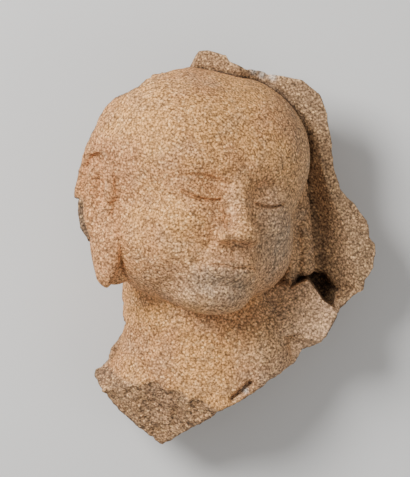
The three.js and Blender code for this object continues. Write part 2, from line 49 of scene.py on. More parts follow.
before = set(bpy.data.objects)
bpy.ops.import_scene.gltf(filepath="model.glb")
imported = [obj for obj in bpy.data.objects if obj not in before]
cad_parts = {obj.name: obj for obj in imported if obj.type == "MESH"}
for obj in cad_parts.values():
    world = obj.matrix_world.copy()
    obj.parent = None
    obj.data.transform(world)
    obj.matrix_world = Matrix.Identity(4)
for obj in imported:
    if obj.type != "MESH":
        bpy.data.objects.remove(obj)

NODE = "head_fragment"

# Plans of the fragment, as it is seen from above
OUTLINE = [
    (-0.158, 0.747), (-0.116, 0.813), (-0.079, 0.817), (-0.002, 0.793), (0.012, 0.768), (0.075, 0.743),
    (0.145, 0.734), (0.17, 0.722), (0.232, 0.714), (0.315, 0.697), (0.39, 0.639),
    (0.415, 0.568), (0.432, 0.515), (0.452, 0.328), (0.473, 0.245), (0.523, 0.183), (0.589, 0.116),
    (0.602, 0.05), (0.631, 0.021), (0.622, -0.087), (0.581, -0.141), (0.573, -0.178), (0.498, -0.224),
    (0.456, -0.27), (0.427, -0.328), (0.39, -0.39), (0.315, -0.419), (0.29, -0.478), (0.183, -0.544),
    (0.099, -0.602), (-0.058, -0.693),
    (-0.207, -0.78), (-0.266, -0.82), (-0.328, -0.776), (-0.398, -0.71), (-0.44, -0.689), (-0.494, -0.627),
    (-0.556, -0.535), (-0.556, -0.51), (-0.498, -0.469), (-0.456, -0.373),
    (-0.423, -0.32), (-0.436, -0.235), (-0.49, -0.163), (-0.531, -0.125), (-0.552, -0.046), (-0.572, 0.02),
    (-0.59, 0.052), (-0.614, 0.087), (-0.629, 0.141), (-0.633, 0.187), (-0.622, 0.226), (-0.606, 0.282),
    (-0.577, 0.411), (-0.531, 0.502), (-0.506, 0.56), (-0.452, 0.614), (-0.357, 0.655), (-0.299, 0.701),
    (-0.207, 0.734),
]
HOOD_LINE = [
    (-0.7, 0.7), (0.16, 0.715), (0.237, 0.695), (0.278, 0.593), (0.32, 0.498), (0.328, 0.35), (0.345, 0.2),
    (0.365, 0.124), (0.382, 0.0), (0.398, -0.12), (0.419, -0.199), (0.44, -0.5), (0.3, -1.0),
]
CLOTH_PLAN = [
    (0.185, -0.3), (0.15, -0.24), (0.16, -0.15), (0.26, -0.16), (0.338, -0.132), (0.398, -0.203),
    (0.444, -0.253), (0.5, -0.34), (0.39, -0.386), (0.282, -0.361), (0.203, -0.373),
]
UNDERCLOTH_PLAN = [(0.166, -0.33), (0.4, -0.37), (0.456, -0.456), (0.249, -0.622), (0.166, -0.53)]
LEDGE_PLAN = [
    (0.444, -0.228), (0.5, -0.187), (0.581, -0.141), (0.631, -0.12), (0.664, -0.19), (0.498, -0.332),
    (0.42, -0.27),
]
HOLLOW_PLAN = [
    (0.262, -0.166), (0.338, -0.132), (0.382, -0.19), (0.4, -0.218), (0.452, -0.252), (0.452, -0.228),
    (0.48, -0.172), (0.44, -0.135), (0.42, -0.1), (0.36, -0.085), (0.28, -0.125),
]
TRENCH_PLAN = [(0.44, -0.225), (0.5, -0.193), (0.535, -0.176), (0.53, -0.162), (0.49, -0.163), (0.43, -0.19)]
EAR_CHIP_PLAN = [
    (-0.7, 0.212), (-0.6, 0.202), (-0.59, 0.19), (-0.586, 0.13), (-0.578, 0.054), (-0.53, -0.13),
    (-0.7, -0.13),
]
WORN_CORNER_PLAN = [
    (-0.5, -0.43), (-0.5, -0.486), (-0.471, -0.526), (-0.437, -0.554), (-0.357, -0.571), (-0.33, -0.63),
    (-0.5, -0.72), (-0.68, -0.56), (-0.6, -0.43),
]
EDGE_CHIP = [(0.02, -0.622), (0.06, -0.592), (0.098, -0.558)]
PALE_CHIPS = [(0.078, -0.59, 0.011), (0.112, 0.733, 0.014), (0.146, 0.72, 0.015), (0.19, 0.712, 0.016)]
FOLD_LINE = [(0.2, -0.385), (0.24, -0.374), (0.282, -0.361), (0.34, -0.362), (0.4, -0.382)]
BEHIND_PLAN = [
    (-0.158, 0.83), (0.664, 0.83), (0.664, -0.415), (0.166, -0.871), (-0.581, -0.871), (-0.581, -0.515),
    (-0.415, -0.249), (-0.373, 0.166), (-0.29, 0.622),
]

# Proportions of the head, from its centre
HEAD_PLACE = (-0.141, 0.241, 0.0)
EYE_ACROSS = 0.158
EYE_UP = -0.01
EYE_HALF = 0.09
BROW_UP = 0.088
NOSE_BASE = -0.208
MOUTH_UP = -0.3
MOUTH_HALF = 0.128
EAR_FORWARD = 0.095
EAR_SPLAY = 0.3
RIM = [
    (0.452, -0.035, 0.036), (0.458, 0.065, 0.036), (0.462, 0.118, -0.012), (0.466, 0.112, -0.075),
    (0.468, 0.045, -0.118), (0.466, -0.05, -0.12), (0.456, -0.14, -0.085), (0.446, -0.22, -0.052),
]
INNER_RIM = [(0.45, 0.066, -0.022), (0.462, 0.03, -0.058), (0.462, -0.045, -0.066), (0.45, -0.115, -0.04)]

# Flat faces, each by a place on it and the way it faces
CLOTH_PLACE = (0.274, -0.249, 0.01)
CLOTH_NORMAL = (-0.24, 0.2, 0.95)
UNDERCLOTH_PLACE = (0.274, -0.415, -0.035)
UNDERCLOTH_NORMAL = (-0.1, -0.26, 0.96)
LOWER_BREAK_PLACE = (-0.295, -0.585, 0.066)
LOWER_BREAK_NORMAL = (-0.32, -0.6, 0.73)

# The hollow beside the collar, whose floor runs down from its mouth
HOLLOW_MOUTH = (0.46, -0.27)
HOLLOW_SLOPE = 0.9
HOLLOW_BOTTOM = -0.27


# Easing, joins and cuts
def ease(start, end, t):
    s = np.clip((t - start) / (end - start), 0.0, 1.0)
    return s * s * (3 - 2 * s)


def bell(t):
    return np.exp(-t * t)


def join(a, b, rounding):
    h = np.maximum(rounding - np.abs(a - b), 0.0) / rounding
    return np.minimum(a, b) - h * h * rounding / 4


def overlap(a, b, rounding):
    return -join(-a, -b, rounding)


def cut(a, b, rounding):
    return overlap(a, -b, rounding)


# Solids as distances
def ellipsoid(x, y, z, centre, radii):
    px = (x - centre[0]) / radii[0]
    py = (y - centre[1]) / radii[1]
    pz = (z - centre[2]) / radii[2]
    k = np.sqrt(px * px + py * py + pz * pz)
    slope = np.sqrt((px / radii[0]) ** 2 + (py / radii[1]) ** 2 + (pz / radii[2]) ** 2)
    return k * (k - 1) / np.maximum(slope, 1e-6)


def capsule(x, y, z, a, b, start_radius, end_radius):
    ex, ey, ez = b[0] - a[0], b[1] - a[1], b[2] - a[2]
    px, py, pz = x - a[0], y - a[1], z - a[2]
    t = np.clip((px * ex + py * ey + pz * ez) / (ex * ex + ey * ey + ez * ez), 0, 1)
    apart = np.sqrt((px - ex * t) ** 2 + (py - ey * t) ** 2 + (pz - ez * t) ** 2)
    return apart - start_radius - (end_radius - start_radius) * t


def chain(x, y, z, line, radius):
    parts = [capsule(x, y, z, a, b, radius, radius) for a, b in zip(line, line[1:])]
    return np.minimum.reduce(parts)


def outline_distance(x, y, outline):
    """Distance to a closed outline in the plan, below zero inside it."""
    nearest = np.full_like(x, 1e9)
    inside = np.zeros(x.shape, bool)
    for (ax, ay), (bx, by) in zip(outline, outline[1:] + outline[:1]):
        ex, ey, wx, wy = bx - ax, by - ay, x - ax, y - ay
        t = np.clip((wx * ex + wy * ey) / (ex * ex + ey * ey), 0, 1)
        nearest = np.minimum(nearest, (wx - ex * t) ** 2 + (wy - ey * t) ** 2)
        if ey:
            inside ^= ((ay > y) != (by > y)) & (x < ex * (y - ay) / ey + ax)
    return np.where(inside, -1, 1) * np.sqrt(nearest)


def beside_line(x, y, line):
    """Distance to an open line in the plan, above zero on its left hand as it is listed."""
    nearest = np.full_like(x, 1e9)
    side = np.ones_like(x)
    for (ax, ay), (bx, by) in zip(line, line[1:]):
        ex, ey, wx, wy = bx - ax, by - ay, x - ax, y - ay
        t = np.clip((wx * ex + wy * ey) / (ex * ex + ey * ey), 0, 1)
        d = (wx - ex * t) ** 2 + (wy - ey * t) ** 2
        nearer = d < nearest - 1e-9
        side = np.where(nearer, np.sign(ex * wy - ey * wx), side)
        nearest = np.where(nearer, d, nearest)
    return side * np.sqrt(nearest)


def above(x, y, z, place, normal):
    """Distance above a plane through a place."""
    length = math.sqrt(sum(n * n for n in normal))
    nx, ny, nz = (n / length for n in normal)
    return (x - place[0]) * nx + (y - place[1]) * ny + (z - place[2]) * nz


# Broken stone
def lumps(x, y, z, size):
    u, v, w = x / size, y / size, z / size
    first = np.sin(1.9 * u + 1.3 * np.sin(1.1 * v + 0.7 * w + 0.4))
    second = np.sin(1.7 * v + 1.4 * np.sin(0.9 * w + 1.2 * u + 2))
    third = np.sin(1.8 * w + 1.2 * np.sin(1.3 * u - 0.8 * v + 4.1))
    return (first + second + third) / 3


def value_noise(x, y, z, size, seed):
    """Smooth noise between -1 and 1, of blobs about as wide as size."""
    places = [x / size, y / size, z / size]
    corners = [np.floor(p).astype(np.int64) for p in places]
    parts = [p - c for p, c in zip(places, corners)]
    weights = [t * t * (3 - 2 * t) for t in parts]
    total = np.zeros_like(x)
    for dx in (0, 1):
        for dy in (0, 1):
            for dz in (0, 1):
                code = (corners[0] + dx) * 73856093 ^ (corners[1] + dy) * 19349663
                code = (code ^ (corners[2] + dz) * 83492791 ^ seed * 2654435761) & 0xFFFFFFFF
                code = ((code ^ (code >> 15)) * 2246822519) & 0xFFFFFFFF
                code = ((code ^ (code >> 13)) * 3266489917) & 0xFFFFFFFF
                value = (code ^ (code >> 16)) / 2147483648.0 - 1
                share = np.where(dx, weights[0], 1 - weights[0])
                share = share * np.where(dy, weights[1], 1 - weights[1])
                total += share * np.where(dz, weights[2], 1 - weights[2]) * value
    return total


class Form:
    """The carved and broken form, from the sizes that a user may change."""

    def __init__(self, sizes):
        self.height = sizes.head_height
        self.bed = -self.share(sizes.bed_depth)
        self.rest = (self.share(sizes.rest_width / 2), self.share(sizes.rest_length / 2))
        self.back_rise = self.share(sizes.back_rise)
        self.relief = self.share(sizes.break_relief)
        self.hood_level = self.share(sizes.hood_height - sizes.bed_depth)
        self.groove_width = self.share(sizes.groove_width)
        self.groove_depth = self.share(sizes.groove_depth)
        self.lobe = 0.048 - self.share(sizes.lobe_length)
        self.edge_slope = sizes.edge_slope
        turn, lean = sizes.head_turn, -sizes.head_lean
        about_y = np.array([
            [math.cos(turn), 0, math.sin(turn)],
            [0, 1, 0],
            [-math.sin(turn), 0, math.cos(turn)],
        ])
        about_z = np.array([
            [math.cos(lean), -math.sin(lean), 0],
            [math.sin(lean), math.cos(lean), 0],
            [0, 0, 1],
        ])
        self.turned = (about_z @ about_y).astype(np.float32)

    def share(self, length):
        return length / self.height

    def break_relief(self, x, y, z):
        """How far a broken surface stands out at a place."""
        warp = 0.05 * lumps(y, z, x, 0.16)
        coarse = 0.45 * lumps(x + warp, y - warp, z, 0.137)
        ridged = np.abs(lumps(0.8 * x + 0.6 * y + 0.166, 0.8 * y - 0.6 * x + 2 * warp, z, 0.083))
        fine = 0.16 * lumps(0.6 * x - 0.8 * z, y + 0.07 + warp, 0.8 * x + 0.6 * z, 0.034)
        return self.relief * (coarse + 0.16 - 0.48 * ridged + fine)

    def to_head(self, x, y, z):
        p = (x - HEAD_PLACE[0], y - HEAD_PLACE[1], z - HEAD_PLACE[2])
        turned = self.turned
        return tuple(turned[0, i] * p[0] + turned[1, i] * p[1] + turned[2, i] * p[2] for i in range(3))

    def skull(self, side, up, out):
        broad = np.sqrt(side * side + 0.004) - 0.012
        crown = ellipsoid(side, up, out, (0, 0.09, -0.02), (0.45, 0.41, 0.445))
        forehead = ellipsoid(broad, up, out, (0.175, 0.185, 0.02), (0.25, 0.265, 0.335))
        face = ellipsoid(side, up, out, (0, -0.14, 0.05), (0.395, 0.34, 0.362))
        jaw = ellipsoid(broad, up, out, (0.17, -0.235, 0.13), (0.205, 0.175, 0.205))
        chin = ellipsoid(side, up, out, (0, -0.42, 0.265), (0.145, 0.08, 0.135))
        teeth = ellipsoid(side, up, out, (0, -0.298, 0.305), (0.155, 0.1, 0.122))
        cheekbone = ellipsoid(side, up, out, (0.16, -0.115, 0.32), (0.1, 0.055, 0.07))
        d = join(crown, forehead, 0.14)
        for part, rounding in ((face, 0.08), (jaw, 0.1), (chin, 0.1), (teeth, 0.08), (cheekbone, 0.08)):
            d = join(d, part, rounding)
        return d

    def brow_and_eye(self, d, side, up, out, front):
        u = (side - 0.15) / 0.15
        brow = BROW_UP + 0.034 * (1 - u * u)
        span = ease(1.15, 0.7, np.abs(u)) * front
        socket = ellipsoid(side, up, out, (EYE_ACROSS - 0.012, 0.012, 0.5), (0.128, 0.066, 0.128))
        ball = ellipsoid(side, up, out, (EYE_ACROSS, EYE_UP, 0.322), (EYE_HALF, 0.052, 0.067))
        d = cut(d, socket, 0.04)
        d = d - 0.007 * span * ease(brow - 0.028, brow + 0.004, up) * ease(brow + 0.07, brow + 0.004, up)
        d = join(d, ball, 0.02)
        e = (side - EYE_ACROSS) / EYE_HALF
        almond = np.maximum(1 - e * e, 0)
        slit = up - (EYE_UP - 0.006 - 0.02 * almond + 0.01 * e)
        lid = ease(0, 0.6, almond) * front
        d = d - 0.008 * lid * ease(-0.003, 0.003, slit) * ease(0.055, 0.01, slit)
        d = d - 0.0045 * lid * ease(-0.034, -0.016, slit) * ease(-0.008, -0.014, slit)
        d = d + 0.008 * ease(0, 0.3, almond) * front * bell((slit + 0.005) / 0.0075)
        near = np.maximum(1 - (e / 1.15) ** 2, 0)
        crease = up - (EYE_UP + 0.046 + 0.016 * almond + 0.006 * e)
        return d + 0.0045 * ease(0, 0.3, near) * front * bell(crease / 0.007)

    def nose(self, d, side, up, out, front):
        bridge = capsule(side, up, out, (0, 0.06, 0.38), (0, -0.15, 0.458), 0.026, 0.04)
        tip = ellipsoid(side, up, out, (0, -0.16, 0.468), (0.054, 0.042, 0.05))
        wing = ellipsoid(side, up, out, (0.06, -0.178, 0.428), (0.036, 0.032, 0.05))
        nostril = ellipsoid(side, up, out, (0.032, NOSE_BASE - 0.002, 0.458), (0.017, 0.016, 0.028))
        nose = join(join(bridge, tip, 0.02), wing, 0.014)
        nose = overlap(nose, NOSE_BASE - up + 0.25 * (out - 0.43), 0.012)
        d = cut(join(d, nose, 0.035), nostril, 0.008)
        d = d + 0.004 * front * bell((side - 0.098) / 0.012) * bell((up + 0.172) / 0.03)
        furrow = 0.105 + 0.045 * ease(-0.19, -0.31, up)
        reach = ease(-0.175, -0.215, up) * ease(-0.345, -0.29, up)
        return d + 0.005 * front * bell((side - furrow) / 0.02) * reach

    def mouth_and_chin(self, d, side, up, out, front):
        m = side / MOUTH_HALF
        line = MOUTH_UP + 0.008 * m * m - 0.005 * bell(side / 0.024) + 0.003 * bell((side - 0.045) / 0.03)
        upper = MOUTH_UP + 0.036 - 0.026 * m * m - 0.007 * bell(side / 0.018)
        lower = MOUTH_UP - 0.046 + 0.034 * m * m
        width = ease(1.08, 0.72, m) * front
        d = d - 0.011 * width * ease(upper + 0.007, upper - 0.01, up) * ease(line - 0.003, line + 0.004, up)
        d = d - 0.013 * width * ease(lower - 0.012, lower + 0.012, up) * ease(line + 0.003, line - 0.004, up)
        d = d + 0.01 * ease(1.1, 0.8, m) * front * bell((up - line) / 0.007)
        corner = bell((up - MOUTH_UP - 0.006) / 0.018)
        d = d + 0.009 * front * bell((side - MOUTH_HALF * 1.02) / 0.015) * corner
        dip = ease(MOUTH_UP + 0.03, MOUTH_UP + 0.048, up) * ease(NOSE_BASE - 0.006, NOSE_BASE - 0.02, up)
        d = d + 0.0055 * front * bell(side / 0.016) * dip
        return d + 0.01 * front * ease(0.15, 0.05, side) * bell((up - MOUTH_UP + 0.076) / 0.02)

    def ears(self, across, up, out, far):
        forward = out - EAR_FORWARD
        lobe = self.lobe + 0.05 * far
        hang = ease(-0.05, -0.32, up)
        side = across - 0.025 * hang * far + EAR_SPLAY * (forward - 0.02) * (1 - 0.8 * hang * (1 - far))
        shell = ellipsoid(side, up, forward, (0.425, -0.02, -0.04), (0.036, 0.14, 0.092))
        hanging_lobe = ellipsoid(side, up - lobe, forward, (0.412, 0, 0.0), (0.046, 0.15, 0.088))
        stone_behind_lobe = ellipsoid(side, up - lobe, forward, (0.34, 0.02, -0.05), (0.1, 0.15, 0.08))
        stone_behind_ear = ellipsoid(side, up, forward, (0.37, -0.02, -0.12), (0.075, 0.2, 0.14))
        bowl = ellipsoid(side, up, forward, (0.478, -0.046, -0.012), (0.056, 0.086, 0.045))
        dimple = ellipsoid(side, up, forward, (0.484, 0.072, -0.02), (0.046, 0.034, 0.042))
        front_flap = ellipsoid(side, up, forward, (0.446, -0.06, 0.034), (0.022, 0.032, 0.016))
        d = join(shell, hanging_lobe, 0.05)
        d = join(d, stone_behind_lobe, 0.04)
        d = join(d, stone_behind_ear, 0.05)
        d = join(d, chain(side, up, forward, RIM, 0.019), 0.012)
        d = join(d, chain(side, up, forward, INNER_RIM, 0.011), 0.014)
        d = cut(cut(d, bowl, 0.01), dimple, 0.008)
        return join(d, front_flap, 0.012)

    def head_and_ears(self, x, y, z):
        across, up, out = self.to_head(x, y, z)
        side = np.abs(across)
        front = ease(0.12, 0.24, out)
        d = self.skull(side, up, out)
        faced = np.flatnonzero((front > 0) & (d < 0.2))
        if len(faced):
            s, u, o, f = side[faced], up[faced], out[faced], front[faced]
            part = self.brow_and_eye(d[faced], s, u, o, f)
            part = self.nose(part, s, u, o, f)
            d[faced] = self.mouth_and_chin(part, s, u, o, f)
        ears = np.full_like(d, 0.12)
        near = (side > 0.15) & (np.abs(out - 0.05) < 0.45) & (up < 0.38) & (up > self.lobe - 0.4)
        eared = np.flatnonzero(near)
        if len(eared):
            ears[eared] = self.ears(side[eared], up[eared], out[eared], 1.0 * (across[eared] > 0))
        strip = capsule(x, y, z, (0.318, 0.2, -0.13), (0.33, -0.075, -0.09), 0.03, 0.042)
        return join(join(d, ears, 0.014), strip, 0.014)

    def neck_and_breast(self, x, y, z):
        neck = ellipsoid(x, y, z, (-0.141, -0.249, -0.141), (0.299, 0.622, 0.257))
        breast = ellipsoid(x, y, z, (-0.124, -0.851, -0.232), (0.685, 0.415, 0.365))
        shoulder = ellipsoid(x, y, z, (0.13, -0.4, -0.13), (0.16, 0.22, 0.19))
        body = join(join(neck, breast, 0.166), shoulder, 0.1)
        crease = y + 0.382 + 0.145 * (x + 0.141) ** 2
        return body + 0.0045 * bell(crease / 0.021) * ease(-0.19, -0.025, z)

    def collar(self, x, y, z):
        cloth = above(x, y, z, CLOTH_PLACE, CLOTH_NORMAL)
        under = above(x, y, z, UNDERCLOTH_PLACE, UNDERCLOTH_NORMAL)
        cloth_plan = outline_distance(x, y, CLOTH_PLAN) - 0.3 * np.maximum(-cloth, 0)
        under_plan = outline_distance(x, y, UNDERCLOTH_PLAN) - 0.3 * np.maximum(-under, 0)
        d = np.minimum(overlap(cloth, cloth_plan, 0.008), overlap(under, under_plan, 0.012))
        return d + 0.009 * bell(beside_line(x, y, FOLD_LINE) / 0.008) * ease(0.19, 0.22, x)

    def hood_surface(self, x, y):
        """How high the hood and the stone behind the head stand."""
        crest = 0.062 + 0.079 * ease(0.4, -0.05, y)
        beyond = beside_line(x, y, HOOD_LINE) - crest
        level = self.hood_level + 0.05 * ease(0.124, 0.54, y)
        into = np.clip(-beyond / (crest + 0.008), 0, 1)
        valley = 0.112 * (0.5 * ease(-0.02, 1, into) + 0.5 * into * (2 - into)) * ease(0.6, 0.1, y)
        side = level - valley - 0.05 * np.clip(beyond / 0.2, 0, 1)
        top = ease(0.16, 0.03, x) * ease(0.498, 0.664, y)
        return side + (0.083 - side) * top

    def hood_and_stone_behind(self, x, y, z, surface):
        head_wide = ellipsoid(x, y, z, (-0.141, 0.241, -0.15), (0.465, 0.502, 1.66))
        plan = np.minimum(head_wide, outline_distance(x, y, BEHIND_PLAN))
        d = overlap((z - surface) * 0.8, plan, 0.025)
        chunk = ellipsoid(x, y, z, (-0.565, 0.135, -0.13), (0.09, 0.1, 0.15)) - self.break_relief(x, y, z)
        d = join(d, chunk, 0.04)
        notch = capsule(x, y, 0.4 * z, (0.378, -0.145, -0.02), (0.535, -0.172, -0.01), 0.068, 0.016)
        ledge_top = z + 0.065 + 0.25 * (x - 0.5) + 0.5 * (y + 0.2)
        ledge = overlap(ledge_top, outline_distance(x, y, LEDGE_PLAN), 0.012)
        return join(cut(d, notch, 0.012), ledge, 0.012)

    def carved(self, x, y, z, surface):
        """The form before it broke."""
        head = self.head_and_ears(x, y, z)
        hood = self.hood_and_stone_behind(x, y, z, surface)
        inwards = 0.6 * (y - HOLLOW_MOUTH[1]) - 0.8 * (x - HOLLOW_MOUTH[0])
        floor = np.maximum(surface - HOLLOW_SLOPE * inwards, HOLLOW_BOTTOM)
        hollow = np.maximum(outline_distance(x, y, HOLLOW_PLAN), floor - z) + 0.07 * np.maximum(-0.02 - z, 0)
        trench = np.maximum(outline_distance(x, y, TRENCH_PLAN), surface - 0.02 + 0.12 * (x - 0.44) - z)
        hood = cut(cut(hood, hollow, 0.02), trench, 0.006)
        body = cut(self.neck_and_breast(x, y, z), hollow, 0.01)
        collar = cut(self.collar(x, y, z), hollow, 0.008)
        d = join(join(head, body, 0.016), collar, 0.01)
        d = d + 0.003 * bell(np.hypot(body, collar) / 0.008)
        wide = ease(0.12, 0.2, x) * ease(0.36, 0.5, y)
        line = bell(np.hypot(head, hood) / (self.groove_width * (1 + 0.8 * wide)))
        d = join(d, hood, 0.008) + self.groove_depth * (1 + wide) * ease(-0.17, -0.1, x) * line
        chip = np.maximum(outline_distance(x, y, EAR_CHIP_PLAN), -0.11 - z + self.break_relief(x, y, z))
        d = cut(d, chip, 0.02)
        return d + 0.022 * bell(beside_line(x, y, EDGE_CHIP) / 0.009) * ease(-0.2, -0.15, z)

    def worn_corner(self, x, y):
        """Share of rough wear on the corner beside the lower break."""
        side = outline_distance(x, y, WORN_CORNER_PLAN) + 0.8 * self.break_relief(x, y, 0 * x)
        return ease(0.012, -0.012, side)

    def break_away(self, d, x, y, z, surface):
        """Trims the carved form by the break below the neck, the broken sides and the back."""
        relief = self.break_relief(x, y, z)
        d = overlap(d, above(x, y, z, LOWER_BREAK_PLACE, LOWER_BREAK_NORMAL) - relief, 0.006)
        side = outline_distance(x, y, OUTLINE)
        edge = np.flatnonzero(np.abs(side) < 0.06)
        if len(edge):
            at = (x[edge], y[edge], z[edge])
            chipped = 0.009 * value_noise(*at, 0.1, 11) + 0.006 * value_noise(*at, 0.04, 12)
            side[edge] += np.maximum(chipped, -0.002)
        side = side + self.edge_slope * np.maximum(surface - z, 0)
        d = overlap(d, 0.9 * (side - relief * ease(0.02, -0.19, z)), 0.006)
        spread = np.hypot((x + 0.021) / self.rest[0], (y - 0.021) / self.rest[1])
        lift = self.back_rise * ease(1, 2.5, spread) - (relief - 0.012) * ease(0.85, 1.35, spread)
        return np.maximum(overlap(d, self.bed + lift - z, 0.006), self.bed - z)

    def __call__(self, x, y, z):
        surface = self.hood_surface(x, y)
        return self.break_away(self.carved(x, y, z, surface), x, y, z, surface)


# The grid that is sampled, in shares, and how it becomes a mesh
GRID_LOW = (-0.66, -0.85)
GRID_HIGH = (0.66, 0.85, 0.53)
BLOCK = 4
CHUNK = 300000
PINCH_ROUNDS = 12
THINNING_STEPS = 10
FEWEST_TRIANGLES = 1000
BOX_INSET = 0.00001

# How far the masks look out of the stone for hollows, and into it for edges
NEAR_REACH = 0.006
FAR_REACH = 0.016


def in_chunks(field, x, y, z):
    """The field at many places, a few at a time."""
    values = np.empty(len(x), np.float32)
    for start in range(0, len(x), CHUNK):
        part = slice(start, start + CHUNK)
        values[part] = field(x[part], y[part], z[part])
    return values


def sampled(field, low, cell, counts):
    """Values of the field at the corners of a grid, exact near the surface and only signed elsewhere."""
    blocks = np.stack(np.meshgrid(*[np.arange(n) for n in counts], indexing="ij"), -1).reshape(-1, 3)
    middles = (low + cell * BLOCK * (blocks + 0.5)).astype(np.float32)
    middle = in_chunks(field, *middles.T).reshape(counts)
    near = np.abs(middle) < 0.87 * BLOCK * cell * 1.8

    def spread(array):
        for axis in range(3):
            array = np.repeat(array, BLOCK, axis)
        return np.pad(array, ((0, 1), (0, 1), (0, 1)), mode="edge")

    values = np.where(spread(middle) < 0, np.float32(-1), np.float32(1))
    wanted = spread(near)
    for axis in range(3):
        wanted |= np.roll(wanted, 1, axis)
    corners = np.argwhere(wanted)
    places = (low + cell * corners).astype(np.float32)
    values[wanted] = in_chunks(field, *places.T)
    return values


def without_pinches(values, cell):
    """Fills the corners where two lumps touch only along an edge or at a point, to close the surface."""
    fill = np.float32(-0.05 * cell)
    ends = (slice(0, -1), slice(1, None))
    for _ in range(PINCH_ROUNDS):
        inside = values < 0
        found = np.zeros_like(inside)
        for a, b in ((0, 1), (1, 2), (0, 2)):
            def shifted(da, db, array):
                index = [slice(None)] * 3
                index[a] = slice(da, array.shape[a] - 1 + da)
                index[b] = slice(db, array.shape[b] - 1 + db)
                return array[tuple(index)]
            p, q = shifted(0, 0, inside), shifted(1, 0, inside)
            r, s = shifted(0, 1, inside), shifted(1, 1, inside)
            shifted(1, 0, found)[...] |= p & s & ~q & ~r
            shifted(0, 0, found)[...] |= ~p & ~s & q & r
        corners = [inside[a, b, c] for a in ends for b in ends for c in ends]
        total = sum(corner.astype(np.int8) for corner in corners)
        for dx, dy in ((0, 0), (0, 1), (1, 0), (1, 1)):
            one = inside[ends[dx], ends[dy], ends[0]]
            other = inside[ends[1 - dx], ends[1 - dy], ends[1]]
            step = found[ends[1 - dx], ends[dy], ends[0]]
            step |= one & other & (total == 2)
            step = found[ends[dx], ends[dy], ends[0]]
            step |= ~one & ~other & (total == 6)
        if not found.any():
            break
        values[found] = fill
    return values


def zero_surface(values, low, cell):
    """Points and quads of the surface between the corners inside and those outside."""
    inside = values < 0
    shape = np.array(values.shape)
    strides = np.array([shape[1] * shape[2], shape[2], 1])
    crossings, rings = [], []
    for axis in range(3):
        first = [slice(None)] * 3
        second = [slice(None)] * 3
        first[axis] = slice(0, -1)
        second[axis] = slice(1, None)
        starts = inside[tuple(first)]
        changes = np.argwhere(starts != inside[tuple(second)])
        flat = changes @ strides
        here = values.ravel()[flat]
        there = values.ravel()[flat + strides[axis]]
        place = changes.astype(np.float64)
        place[:, axis] += np.clip(here / (here - there), 0.02, 0.98)
        u, v = (axis + 1) % 3, (axis + 2) % 3
        ring = np.stack([flat, flat - strides[u], flat - strides[u] - strides[v], flat - strides[v]], 1)
        ring[here > 0] = ring[here > 0][:, ::-1]
        crossings.append(place)
        rings.append(ring)
    crossings = np.concatenate(crossings)
    rings = np.concatenate(rings)
    cells, faces = np.unique(rings, return_inverse=True)
    faces = faces.reshape(-1, 4)
    count = np.bincount(faces.ravel(), minlength=len(cells))
    points = np.stack([
        np.bincount(faces.ravel(), np.repeat(crossings[:, axis], 4), len(cells)) / count for axis in range(3)
    ], 1)
    return low + cell * points, faces


def largest_shell(points, faces):
    """The largest of the closed shells, without any crumb outside it or bubble inside it."""
    label = np.arange(len(points))
    ends = np.concatenate([faces, np.roll(faces, -1, 1)], 0).reshape(2, -1)
    while True:
        least = np.minimum(label[ends[0]], label[ends[1]])
        before = label.copy()
        np.minimum.at(label, ends[0], least)
        np.minimum.at(label, ends[1], least)
        label = label[label]
        if (label == before).all():
            break
    names, sizes = np.unique(label, return_counts=True)
    kept = label == names[np.argmax(sizes)]
    number = np.cumsum(kept) - 1
    return points[kept], number[faces[kept[faces[:, 0]]]]


def slopes(field, points, step):
    """The field's value and slope at each point."""
    x, y, z = points.astype(np.float32).T
    value = in_chunks(field, x, y, z)
    e = np.float32(step)
    ahead = [in_chunks(field, x + e, y, z), in_chunks(field, x, y + e, z), in_chunks(field, x, y, z + e)]
    return value, np.stack([(other - value) / e for other in ahead], 1)


def settled(field, points, cell):
    """Moves each point along the field's slope onto its zero surface."""
    for _ in range(2):
        value, slope = slopes(field, points, 0.08 * cell)
        step = -value / np.maximum((slope ** 2).sum(1), 0.1)
        points = points + np.clip(step, -cell / 3, cell / 3)[:, None] * slope
    return points


def unit_rows(rows):
    return rows / np.maximum(np.linalg.norm(rows, axis=1, keepdims=True), 1e-9)


def vertex_normals(points, triangles):
    """Normals at the points, weighted by the area of the faces round each."""
    a, b, c = (points[triangles[:, i]] for i in range(3))
    across = np.cross(b - a, c - a)
    total = np.zeros_like(points)
    for i in range(3):
        for axis in range(3):
            total[:, axis] += np.bincount(triangles[:, i], across[:, axis], len(points))
    return unit_rows(total)


def weathering(form, points):
    """How far the stone's skin stands out at each point, in shares: tool marks, pits and rough breaks."""
    x, y, z = points.astype(np.float32).T
    depth = -in_chunks(lambda a, b, c: form.carved(a, b, c, form.hood_surface(a, b)), x, y, z)
    broken = np.maximum(ease(0.003, 0.012, depth), form.worn_corner(x, y))
    skin = (
        0.0011 * value_noise(x, y, z, 0.11, 1)
        + 0.0007 * value_noise(x, y, z, 0.036, 2)
        + 0.00045 * value_noise(x, y, z, 0.014, 3)
    )
    pits = ease(0.45, 0.95, value_noise(x, y, z, 0.021, 4)) * ease(-0.1, 0.5, value_noise(x, y, z, 0.13, 5))
    skin = skin - 0.0014 * pits
    rough = (
        0.0034 * (1 - 2 * np.abs(value_noise(x, y, z, 0.043, 6)))
        + 0.003 * (1 - 2 * np.abs(value_noise(x, y, z, 0.021, 7)))
        + 0.002 * value_noise(x, y, z, 0.0105, 8)
    )
    across, up, _ = form.to_head(x, y, z)
    eroded = 0.4 * ease(-0.37, -0.42, across) * ease(0.22, 0.12, np.abs(up + 0.1))
    flat = ease(form.bed + 0.004, form.bed + 0.02, z)
    share = np.maximum(broken, eroded)
    return (skin * (1 - share) + rough * share) * flat


